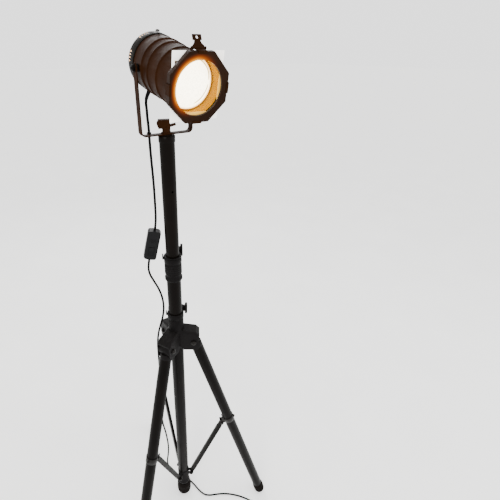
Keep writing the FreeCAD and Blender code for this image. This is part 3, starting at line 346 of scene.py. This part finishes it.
def make_materials():
    black = (0.0018, 0.0012, 0.0009)
    head = (0.0150, 0.0052, 0.0017)
    return {
        "tube": surface("tube_paint", black, 0.36, depth=0.00005, dust=0.12, scratch=(700, 700, 14),
                        shine=0.035),
        "mast": surface("mast_paint", (0.0024, 0.0015, 0.0010), 0.33, depth=0.00004, dust=0.1,
                        scratch=(900, 900, 9), worn=(0.010, 0.0065, 0.0045), shine=0.04),
        "head": surface("head_paint", head, 0.5, grain=1500, depth=0.00005, dust=0.02, mottle=0.25,
                        scratch=(90, 300, 300), worn=(0.024, 0.009, 0.003), shine=0.012),
        "moulding": surface("nylon_moulding", (0.0030, 0.0025, 0.0025), 0.5, grain=2200, depth=0.00007,
                            dust=0.2, shine=0.045),
        "rubber": surface("black_rubber", (0.0040, 0.0028, 0.0021), 0.7, grain=1300, depth=0.0001,
                          dust=0.3, shine=0.03),
        "steel": surface("blackened_steel", (0.0050, 0.0040, 0.0034), 0.4, grain=1800, depth=0.00003,
                         shine=0.12, dust=0.1, scratch=(60, 400, 400), worn=(0.02, 0.017, 0.014)),
        "zinc": surface("zinc_plate", (0.055, 0.053, 0.052), 0.42, metal=1.0, grain=2500, depth=0.00003,
                        scratch=(300, 300, 40), worn=(0.14, 0.135, 0.13), mottle=0.15),
        # Painted light: the liner's saturated gold stands in for the lamp's strong warm light on the barrel's
        # inner wall; its grain and scratches are its own.
        "liner": surface("liner_painted_gold", (0.30, 0.125, 0.0008), 0.55, grain=1200, depth=0.00004, mottle=0.2,
                         shine=0.0, scratch=(300, 20, 300), worn=(0.38, 0.18, 0.002)),
        "reflector": surface("silvered_glass", (0.75, 0.66, 0.45), 0.15, metal=1.0, grain=300, depth=0.0003,
                             mottle=0.1),
        "ceramic": surface("glazed_ceramic", (0.70, 0.67, 0.60), 0.25, grain=600, depth=0.00004, mottle=0.08),
        "jacket": surface("cord_jacket", (0.0016, 0.0014, 0.0014), 0.42, grain=1600, depth=0.00003, dust=0.12,
                          shine=0.04),
        "shell": surface("switch_shell", (0.0034, 0.0034, 0.0038), 0.32, grain=2600, depth=0.00004,
                         dust=0.12, shine=0.08),
        "brass": surface("plated_brass", (0.72, 0.66, 0.50), 0.25, metal=1.0, grain=2000, depth=0.00002,
                         mottle=0.12, scratch=(60, 500, 500)),
        "frame": frame_material(),
        "cap": cap_material(),
        "card": card_material(),
        "film": film_material(),
        "lens": lens_material(),
        "floor": floor_material(),
    }


# ------------------------------------------------------------------ making pieces

def piece(name, mesh, material, body, sharp=35):
    """A finished mesh as a piece that rides on a body, smooth but for its sharp edges."""
    made = bpy.data.objects.new(name, mesh)
    bpy.context.scene.collection.objects.link(made)
    mesh.materials.append(MATERIALS[material])
    mesh.shade_smooth()
    mesh.set_sharp_from_angle(angle=math.radians(sharp))
    if body:
        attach(made, body)
    return made


def from_bmesh(bm, name):
    bmesh.ops.recalc_face_normals(bm, faces=bm.faces)
    mesh = bpy.data.meshes.new(name)
    bm.to_mesh(mesh)
    bm.free()
    return mesh


def skin(rings):
    """A mesh over rings of equally many points. A ring of one point closes an end."""
    bm = bmesh.new()
    rows = [[bm.verts.new(point) for point in ring] for ring in rings]
    for low, high in zip(rows, rows[1:]):
        count = max(len(low), len(high))
        for n in range(count):
            here, there = n, (n + 1) % count
            corners = [low[here % len(low)], low[there % len(low)]]
            corners += [high[there % len(high)], high[here % len(high)]]
            bm.faces.new(list(dict.fromkeys(corners)))
    return bm


def softened(profile, radius):
    """An open outline with each inner corner rounded by up to a radius."""
    points = [Vector(p) for p in profile]
    made = [points[0]]
    for before, corner, after in zip(points, points[1:], points[2:]):
        back, ahead = before - corner, after - corner
        reach = min(radius, 0.45 * back.length, 0.45 * ahead.length)
        enter, leave = corner + back.normalized() * reach, corner + ahead.normalized() * reach
        for step in range(5):
            t = step / 4
            made.append(enter * (1 - t) ** 2 + corner * 2 * t * (1 - t) + leave * t ** 2)
    return made + [points[-1]]


def turned(name, profile, place, material, body, soft=0.5, lobes=None, count=72, sharp=35):
    """A piece turned about its frame's Z from (radius, height) points in millimetres.

    lobes(angle, radius) may give each point another radius.
    """
    rings = []
    for radius, height in softened(profile, soft):
        if radius < 1e-6:
            rings.append([place @ mm(0, 0, height)])
            continue
        ring = []
        for n in range(count):
            angle = 2 * math.pi * n / count
            reach = lobes(angle, radius) if lobes else radius
            ring.append(place @ mm(reach * math.cos(angle), reach * math.sin(angle), height))
        rings.append(ring)
    mesh = from_bmesh(skin(rings), name)
    return piece(name, mesh, material, body, sharp)


def slab(name, outline, low, high, place, material, body, bevel=0.4):
    """A plate from an outline of (x, y) millimetres between two heights, with bevelled edges."""
    bm = bmesh.new()
    lower = [bm.verts.new(place @ mm(x, y, low)) for x, y in outline]
    upper = [bm.verts.new(place @ mm(x, y, high)) for x, y in outline]
    bm.faces.new(lower)
    bm.faces.new(upper)
    for n in range(len(outline)):
        after = (n + 1) % len(outline)
        bm.faces.new((lower[n], lower[after], upper[after], upper[n]))
    made = piece(name, from_bmesh(bm, name), material, body)
    edges = made.modifiers.new("edges", "BEVEL")
    edges.width, edges.segments, edges.limit_method = mm(bevel), 3, "ANGLE"
    return made


def box(name, low, high, place, material, body, bevel=0.4):
    """A block between two corners, with bevelled edges."""
    outline = [(low[0], low[1]), (high[0], low[1]), (high[0], high[1]), (low[0], high[1])]
    return slab(name, outline, low[2], high[2], place, material, body, bevel)


def carve(target, cutters):
    """Takes other pieces out of one, for good."""
    for cutter in cutters:
        hole = target.modifiers.new("hole", "BOOLEAN")
        hole.operation, hole.object, hole.solver = "DIFFERENCE", cutter, "EXACT"
    bpy.context.view_layer.update()
    cut = bpy.data.meshes.new_from_object(target.evaluated_get(bpy.context.evaluated_depsgraph_get()))
    target.modifiers.clear()
    target.data = cut
    cut.set_sharp_from_angle(angle=math.radians(30))
    for cutter in cutters:
        bpy.data.objects.remove(cutter)
    return target


def screw(name, place, radius, height, material, body, drive="cross"):
    """A pan head with a cross, or a button head with a hexagon, standing on the frame's plane."""
    profile = [(0, height), (radius * 0.55, height), (radius * 0.92, height * 0.62), (radius, height * 0.25),
               (radius, 0), (0, 0)]
    head = turned(name, profile, place, material, body, soft=radius * 0.2, count=40)
    deep, wide = height * 0.45, radius * 0.16
    if drive == "cross":
        arms = ((radius * 0.62, wide), (wide, radius * 0.62))
        outlines = [[(-x, -y), (x, -y), (x, y), (-x, y)] for x, y in arms]
    else:
        turns = [math.radians(60 * n) for n in range(6)]
        outlines = [[(radius * 0.48 * math.cos(t), radius * 0.48 * math.sin(t)) for t in turns]]
    tools = [slab("tool", o, deep, height * 2, place, material, None, 0.02) for o in outlines]
    return carve(head, tools)


def finish_cad(nodes, material, edge=0.0):
    """Gives CAD sub-parts a material, and softens their edges where they are sharp ones."""
    for name in nodes.split():
        part = frame["nodes"][name]
        for slot in part.material_slots:
            slot.link = "OBJECT"
            slot.material = MATERIALS[material]
        if edge:
            weld = part.modifiers.new("weld", "WELD")
            weld.merge_threshold = 1e-6
            round_off = part.modifiers.new("edges", "BEVEL")
            round_off.width, round_off.segments = mm(edge), 2
            round_off.limit_method, round_off.angle_limit = "ANGLE", math.radians(50)
            round_off.harden_normals = True


# ------------------------------------------------------------------ the lead

CORD = 6                                # the lead's diameter
COIL_AT = Vector((216, -244))           # middle of the put-away turns
COIL_START = 35.6                       # where they begin and end, as azimuths in degrees
COIL_END = -135.0 - 3 * 360

LEAD_CAN = [
    (-25.7, 25.7, 1539.4), (-31.4, 27.9, 1527.9), (-31.4, 25.0, 1508.0), (-33.4, 20.0, 1491.5),
    (-34.4, 14.6, 1477.0), (-34.4, 14.6, 1460.0),
]
LEAD_MAST = [
    (-34.4, 14.6, 1460.0), (-34.4, 14.6, 1442.0), (-33.2, 16.6, 1410.0), (-31.0, 17.8, 1356.0),
    (-30.8, 18.4, 1298.0), (-32.0, 18.5, 1249.0), (-35.9, 20.7, 1228.4),
]
LEAD_FLOOR = [
    (-52.5, 30.3, 1147.6), (-57.6, 33.2, 1122.0), (-56.3, 32.5, 1098.0), (-46.8, 27.0, 1073.0),
    (-36.4, 21.0, 1047.0), (-29.4, 17.0, 1015.0), (-28.0, 16.1, 982.0), (-32.0, 18.5, 949.0),
    (-40.7, 23.5, 914.0), (-48.5, 28.0, 877.0), (-52.0, 30.0, 830.0), (-51.5, 29.8, 765.0),
    (-53.0, 31.0, 690.0), (-56.0, 32.5, 610.0), (-58.5, 33.6, 530.0), (-58.0, 33.0, 453.0),
    (-50.0, 33.0, 400.0), (-45.0, 35.0, 350.0), (-41.0, 38.0, 292.0), (-42.0, 44.0, 230.0),
    (-46.5, 51.0, 178.0), (-43.0, 56.0, 134.0), (-33.5, 56.5, 98.0), (-22.0, 53.0, 62.0),
    (-7.0, 49.0, 30.0), (12.0, 43.5, 9.0), (28.0, 31.0, 3.1), (38.0, 13.0, 3.1), (44.5, -9.0, 3.1),
    (50.5, -36.5, 3.1), (61.0, -63.0, 3.1), (80.5, -77.5, 3.1), (108.0, -88.0, 3.1), (142.0, -105.0, 3.1),
    (174.0, -130.0, 3.1), (198.0, -155.0, 3.1), (214.0, -178.0, 3.1), (228.0, -198.0, 3.1),
    (245.3, -223.0, 3.1),
]
LEAD_TAIL = [
    (190.5, -269.5, 3.1), (179.0, -260.5, 3.1), (169.5, -250.5, 5.6), (160.5, -241.5, 7.6),
    (151.5, -233.5, 7.6),
]


def eased(turned_by, stops):
    """A value that goes smoothly from stop to stop: (degrees turned, value) pairs."""
    for (begin, one), (end, other) in zip(stops, stops[1:]):
        if turned_by <= end:
            share = max(0.0, (turned_by - begin) / (end - begin))
            return one + (other - one) * share * share * (3 - 2 * share)
    return stops[-1][1]


def coil_points():
    """The put-away turns: the outer low turn, the inner ones, then over them and down the outside."""
    total = COIL_START - COIL_END
    radii = [(0, 36), (60, 36), (150, 30.2), (720, 30.2), (810, 36), (total, 36)]
    heights = [(0, 3.1), (400, 3.1), (520, 8.9), (total - 150, 8.9), (total - 50, 3.1), (total, 3.1)]
    step = 22.5
    points = []
    for n in range(1, int(total / step)):
        by = n * step
        angle = math.radians(COIL_START - by)
        reach = eased(by, radii) / math.cos(math.radians(step / 2)) ** 0.5
        across = COIL_AT + Vector((math.cos(angle), math.sin(angle))) * reach
        points.append((across.x, across.y, eased(by, heights)))
    return points


def spline_line(name, points):
    """The points of the smooth line that a route's control points give, in metres."""
    data = bpy.data.curves.new(name, "CURVE")
    data.dimensions, data.resolution_u = "3D", 10
    route = data.splines.new("NURBS")
    route.points.add(len(points) - 1)
    for target, point in zip(route.points, points):
        target.co = (*mm(*point), 1)
    route.order_u = 3
    route.use_endpoint_u = True
    holder = bpy.data.objects.new(name, data)
    mesh = bpy.data.meshes.new_from_object(holder)
    line = [vertex.co.copy() for vertex in mesh.vertices]
    bpy.data.meshes.remove(mesh)
    bpy.data.objects.remove(holder)
    bpy.data.curves.remove(data)
    return line


def tube_mesh(name, line, radii, sides=20):
    """A round tube along a line, whose frame is carried along it without twisting."""
    normal = (line[1] - line[0]).orthogonal().normalized()
    rings = [[line[0].copy()]]
    for n, point in enumerate(line):
        ahead = (line[min(n + 1, len(line) - 1)] - line[max(n - 1, 0)]).normalized()
        normal = (normal - ahead * normal.dot(ahead)).normalized()
        side = ahead.cross(normal)
        radius = mm(radii[n] if isinstance(radii, list) else radii)
        turns = [2 * math.pi * k / sides for k in range(sides)]
        rings.append([point + (normal * math.cos(t) + side * math.sin(t)) * radius for t in turns])
    rings.append([line[-1].copy()])
    return from_bmesh(skin(rings), name)


def length_of(line):
    return sum((b - a).length for a, b in zip(line, line[1:]))


def cord(name, points, nodes):
    """One stretch of the lead as a smooth tube along its route between two bodies, fixed in place."""
    line = spline_line(name, points)
    made = piece(name, tube_mesh(name, line, CORD / 2), "jacket", None, 60)
    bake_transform(made)
    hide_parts(*nodes)
    return line


def make_cords():
    """The lead's three stretches, each a fixed tube between two bodies. Gives back the first one's line."""
    route = LEAD_FLOOR + coil_points() + LEAD_TAIL
    head = cord("lead_head", LEAD_CAN, ["lead_can"])
    cord("lead_upper", LEAD_MAST, ["lead_mast"])
    cord("lead_lower", route, ["lead_floor", "lead_coil", "lead_tail"])
    return head


# ------------------------------------------------------------------ stand

KNOB_PROFILE = [
    (0, 10), (4.2, 10), (4.6, 11.4), (7.0, 11.4), (8.0, 9.9), (12.6, 9.9), (14.0, 12.35), (15.9, 11.9),
    (16.5, 10.6), (16.5, 7.2), (15.7, 5.9), (13, 5.5), (10.4, 5.45), (9.9, 4.6), (9.7, 0.5), (3.2, 0.5),
    (3.2, 4), (0, 4),
]
KNOB_INSERT = [(0, 10.7), (2.4, 10.7), (3.4, 10.2), (3.4, 9.6), (0, 9.6)]
KNOB_REACH = 30                         # pole axis to a knob's own axis


def make_knob(name, node, body, height, half, turn):
    """A round clamp knob: seven scallops, a domed rim, a dished face and a blackened insert.

    It stands at a height, beyond half the clamp's width, with its clamp turned by an azimuth.
    """
    place = about("Z", turn) @ about("X", 90, mm(KNOB_REACH, 0, height))

    def lobes(angle, radius):
        if radius < 11:
            return radius
        return radius - 1.3 * (radius - 11) / 5.5 * max(0.0, math.cos(7 * angle)) ** 1.5

    profile = [(r, half + h) for r, h in KNOB_PROFILE]
    knob = turned(name, profile, place, "moulding", body, soft=0.9, lobes=lobes, count=140)
    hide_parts(node)
    insert = [(r, half + h) for r, h in KNOB_INSERT]
    turned(f"{name}_insert", insert, place, "steel", body, 0.2, count=32)


def make_stand():
    """Looks for the stand's CAD pieces, and its knobs, screws, ribs and seams."""
    finish_cad("column_tube leg_right_tube leg_left_tube leg_rear_tube", "tube")
    finish_cad("mast_tube", "mast")
    finish_cad("lower_collar mast_collar mast_clamp hub_clamp", "moulding", 0.5)
    finish_cad("mast_cap", "mast", 0.4)
    finish_cad("mast_bushing hub_body leg_right_knuckle leg_left_knuckle leg_rear_knuckle", "moulding", 0.7)
    finish_cad("column_foot leg_right_foot leg_left_foot leg_rear_foot pan_washer", "rubber")
    finish_cad("brace_right brace_left brace_rear", "tube", 0.3)
    finish_cad("leg_right_bracket leg_left_bracket leg_rear_bracket", "steel", 0.3)
    finish_cad("collar_bolts hub_pivot_bolts mast_clamp_bolt hub_clamp_bolt", "steel", 0.4)
    make_knob("mast_knob_grip", "mast_knob", "mast_clamp_knob", 1154, 14, 63)
    make_knob("hub_knob_grip", "hub_knob", "hub_clamp_knob", 957, 20, 60)
    for leg, azimuth in LEGS.items():
        make_leg_details(leg, azimuth)
    for height in (28, 34, 40):
        band = [(26.9, height - 1.5), (27.5, height - 0.9), (27.5, height + 0.9), (26.9, height + 1.5)]
        turned(f"foot_rib_{height}", band, about("Z", 0), "rubber", "column", 0.5, count=96)
    for n, azimuth in enumerate((-30, 150)):
        low, high = (21.6, -0.35, 917), (22.35, 0.35, 946)
        box(f"hub_seam_{n + 1}", low, high, about("Z", azimuth), "moulding", "hub", 0.15)


def make_leg_details(leg, azimuth):
    """Screws at the hub and braces, and the ribs round the leg's foot."""
    body = f"leg_{leg}"
    side = about("Z", azimuth)
    hung = side @ about("Y", -LEG_SPREAD, mm(*LEG_PIVOT))
    for sign, end in ((1, "a"), (-1, "b")):
        across = (0, sign, 0)
        at_hub = side @ looking(mm(LEG_PIVOT[0], sign * 25.5, LEG_PIVOT[2]), across)
        at_collar = side @ looking(mm(32, sign * 11.8, 140), across)
        at_bracket = hung @ looking(mm(-29, sign * 11.3, -413), across)
        screw(f"hub_screw_{leg}_{end}", at_hub, 5.0, 2.2, "steel", "hub", "hex")
        screw(f"brace_screw_{leg}_{end}", at_collar, 3.6, 1.8, "steel", "column", "hex")
        screw(f"bracket_screw_{leg}_{end}", at_bracket, 3.6, 1.8, "zinc", body, "hex")
    screw(f"band_screw_{leg}", hung @ looking(mm(22, 0, -395), (1, 0, 0)), 3.0, 1.6, "steel", body)
    for down in (878, 872, 866):
        band = [(19.9, -down - 1.6), (20.5, -down - 0.9), (20.5, -down + 0.9), (19.9, -down + 1.6)]
        turned(f"leg_{leg}_rib_{down}", band, hung, "rubber", body, 0.5, count=72)


# ------------------------------------------------------------------ head

def make_yoke():
    """Looks for the yoke's CAD pieces."""
    finish_cad("yoke", "head", 0.35)
    finish_cad("tilt_washers", "rubber", 0.2)
    finish_cad("lead_tie", "moulding", 0.3)
    finish_cad("mast_stud", "zinc", 0.3)
    finish_cad("yoke_wing_nut", "head", 0.9)


LENS_PROFILE = [(0, 114), (20, 113.3), (36, 111.9), (44, 110.6), (46, 110), (46, 109.6), (0, 109.6)]
RIM_PROFILE = [(45.9, 106), (46.6, 106.4), (46.6, 110.2), (45.2, 111.2)]
SPRING_PROFILE = [(46.5, 109.2), (48.15, 109.2), (48.15, 110.8), (46.5, 110.8), (46.5, 109.2)]
LINER_PROFILE = [(48.25, 96), (48.05, 96.1), (48.05, 135.8), (48.25, 135.9)]
RIVET_PROFILE = [(0, 1.1), (1.0, 0.95), (1.9, 0.3), (2.0, 0), (0, 0)]


def make_can():
    """Looks for the can's CAD pieces, and its lens, rim, spring, liner, screws, seam and rivets."""
    finish_cad("rear_cap", "cap", 0.25)
    finish_cad("barrel", "head", 0.25)
    finish_cad("gel_frame", "frame", 0.3)
    finish_cad("gel_clips gel_latch", "head", 0.2)
    finish_cad("socket_bracket", "steel", 0.2)
    finish_cad("tilt_bolts", "tube", 0.5)
    finish_cad("lamp_body", "reflector")
    finish_cad("lamp_socket", "ceramic", 0.4)
    finish_cad("gel_card", "card")
    finish_cad("gel_film", "film")

    lens = turned("lens_dome", LENS_PROFILE, CAN, "lens", "can", 0.5, count=96)
    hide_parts("lamp_lens")
    # The lens rim, the lamp spring and the front liner all carry the liner's painted gold light.
    turned("lens_rim", RIM_PROFILE, CAN, "liner", "can", 0.3, count=96)
    turned("lamp_spring", SPRING_PROFILE, CAN, "liner", "can", 0.5, count=96)
    turned("front_liner", LINER_PROFILE, CAN, "liner", "can", 0.05, count=96)

    for sign, end in ((1, "top"), (-1, "bottom")):
        spot = CAN @ looking(mm(0, sign * 56.6, -29), (0, sign, 0))
        screw(f"cap_screw_{end}", spot, 4.2, 3.4, "zinc", "can")
    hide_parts("cap_screws")
    for sign, end in ((1, "right"), (-1, "left")):
        spot = CAN @ looking(mm(sign * 65.6, 0, 0), (sign, 0, 0))
        screw(f"tilt_screw_{end}", spot, 4.2, 1.6, "tube", "can", "hex")
    box("barrel_seam", (-6, -50.05, 81), (6, -49.4, 133), CAN, "head", "can", 0.2)
    for n, ahead in enumerate((86, 99, 113, 127)):
        spot = CAN @ looking(mm(0, -50.0, ahead), (0, -1, 0))
        turned(f"seam_rivet_{n + 1}", RIVET_PROFILE, spot, "steel", "can", 0.2, count=24)


def make_gland(line):
    """A ribbed, tapered sleeve that grips the lead where it leaves the barrel."""
    start_at = CAN @ about("Z", GLAND_TURN) @ mm(0, 52.75, GLAND_AHEAD)
    path = [start_at.lerp(line[0], n / 4) for n in range(4)] + [line[0]]
    along = 0.0
    reach = 0
    while along < mm(13):
        along += (line[reach + 1] - line[reach]).length
        reach += 1
        path.append(line[reach])
    total = length_of(path)
    dense, radii = [], []
    for a, b in zip(path, path[1:]):
        dense += [a.lerp(b, k / 4) for k in range(4)]
    dense.append(path[-1])
    gone = 0.0
    for n, point in enumerate(dense):
        gone += (point - dense[n - 1]).length if n else 0.0
        share = gone / total
        rib = 0.25 if (gone * 1000) % 3.0 < 1.5 and 0.25 < share < 0.95 else 0.0
        radii.append(5.4 if share < 0.09 else 4.4 - 1.15 * share + rib)
    sleeve = piece("gland_sleeve", tube_mesh("gland_sleeve", dense, radii, 32), "moulding", None, 40)
    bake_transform(sleeve)
    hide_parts("lead_gland")


# ------------------------------------------------------------------ switch and plug

def make_switch():
    """The switch keeps its CAD shell and rocker, with a parting line, screws and ribbed ends."""
    finish_cad("switch_body", "shell", 0.3)
    finish_cad("switch_rocker", "shell", 0.3)
    top, bottom = mm(*LEAD_MAST[-1]), mm(*LEAD_FLOOR[0])
    along = (top - bottom).normalized()
    across = along.cross(Vector(SWITCH_FACES)).normalized()
    turn = Matrix((across, along.cross(across), along)).transposed().to_4x4()
    place = Matrix.Translation((top + bottom) / 2) @ turn
    half = 1000 * (top - bottom).length / 2
    outline = [(16.65, half - 5), (16.65, -half + 5), (12.5, -half + 0.9), (-12.5, -half + 0.9),
               (-16.65, -half + 5), (-16.65, half - 5), (-12.5, half - 0.9), (12.5, half - 0.9)]
    lying = place @ Matrix.Rotation(math.radians(90), 4, "X")
    slab("switch_parting", outline, -0.25, 0.25, lying, "moulding", "mast", 0.1)
    for level, end in ((26, "top"), (-33.5, "bottom")):
        spot = place @ looking(mm(0, 9.2, level), (0, 1, 0))
        screw(f"switch_screw_{end}", spot, 2.6, 1.2, "zinc", "mast")
    for n in range(4):
        level = 9 + 3 * n
        low, high = (-8, -10.5, level), (8, -9.6, level + 1.2)
        box(f"switch_grip_{n + 1}", low, high, place, "shell", "mast", 0.3)


PIN_PROFILE = [
    (0, -19.05), (1.7, -19.05), (2.35, -18.2), (2.35, -0.1), (3.4, 0.05), (3.4, 0.4), (0, 0.4),
]


def make_plug():
    """Looks for the plug, and its pins' sleeves with their collars, and its ribs."""
    finish_cad("plug", "shell", 0.4)
    last, before = mm(*LEAD_TAIL[-1]), mm(*LEAD_TAIL[-2])
    ahead = (last - before).normalized()
    place = looking(last + ahead * mm(45.1), -ahead, Vector((0, 0, 1)).cross(ahead))
    for x, end in ((-9.5, "a"), (9.5, "b")):
        spot = place @ Matrix.Translation(mm(x, 0, 0))
        turned(f"plug_pin_{end}", PIN_PROFILE, spot, "brass", "column", 0.4, count=32)
    for n in range(5):
        level = 24 + 3.4 * n
        reach = 13.4 - 1.75 * n
        low, high = (-reach, -7.45, level), (reach, 7.45, level + 1.5)
        box(f"plug_rib_{n + 1}", low, high, place, "shell", "column", 0.6)


# ------------------------------------------------------------------ surroundings

def area_light(name, at, towards, size, power, colour=(1, 1, 1)):
    """A round soft light at a place, aimed at another."""
    data = bpy.data.lights.new(name, "AREA")
    data.shape = "DISK"
    data.size = size
    data.energy = power
    data.color = colour
    made = bpy.data.objects.new(name, data)
    made.matrix_world = looking(at, Vector(at) - Vector(towards))
    bpy.context.scene.collection.objects.link(made)


def make_surroundings():
    """A pale floor under a bright, even sky, with three soft lights."""
    bm = bmesh.new()
    bmesh.ops.create_grid(bm, x_segments=1, y_segments=1, size=40)
    ground = piece("floor", from_bmesh(bm, "floor"), "floor", None)
    world = bpy.data.worlds.new("studio")
    world.use_nodes = True
    background = world.node_tree.nodes["Background"]
    background.inputs["Color"].default_value = (1.0, 1.0, 1.0, 1)
    background.inputs["Strength"].default_value = 2.1
    bpy.context.scene.world = world
    area_light("key", (-1.9, -1.6, 2.9), (0, 0, 1.0), 1.2, 60, (1.0, 0.97, 0.93))
    area_light("fill", (2.2, -1.4, 1.7), (0, 0, 0.9), 1.6, 25, (0.93, 0.96, 1.0))
    area_light("back", (0.6, 2.4, 2.6), (0, 0, 1.2), 1.4, 35)


MATERIALS = make_materials()
make_camera()
head_line = make_cords()
make_stand()
make_yoke()
make_can()
make_gland(head_line)
make_switch()
make_plug()
make_surroundings()
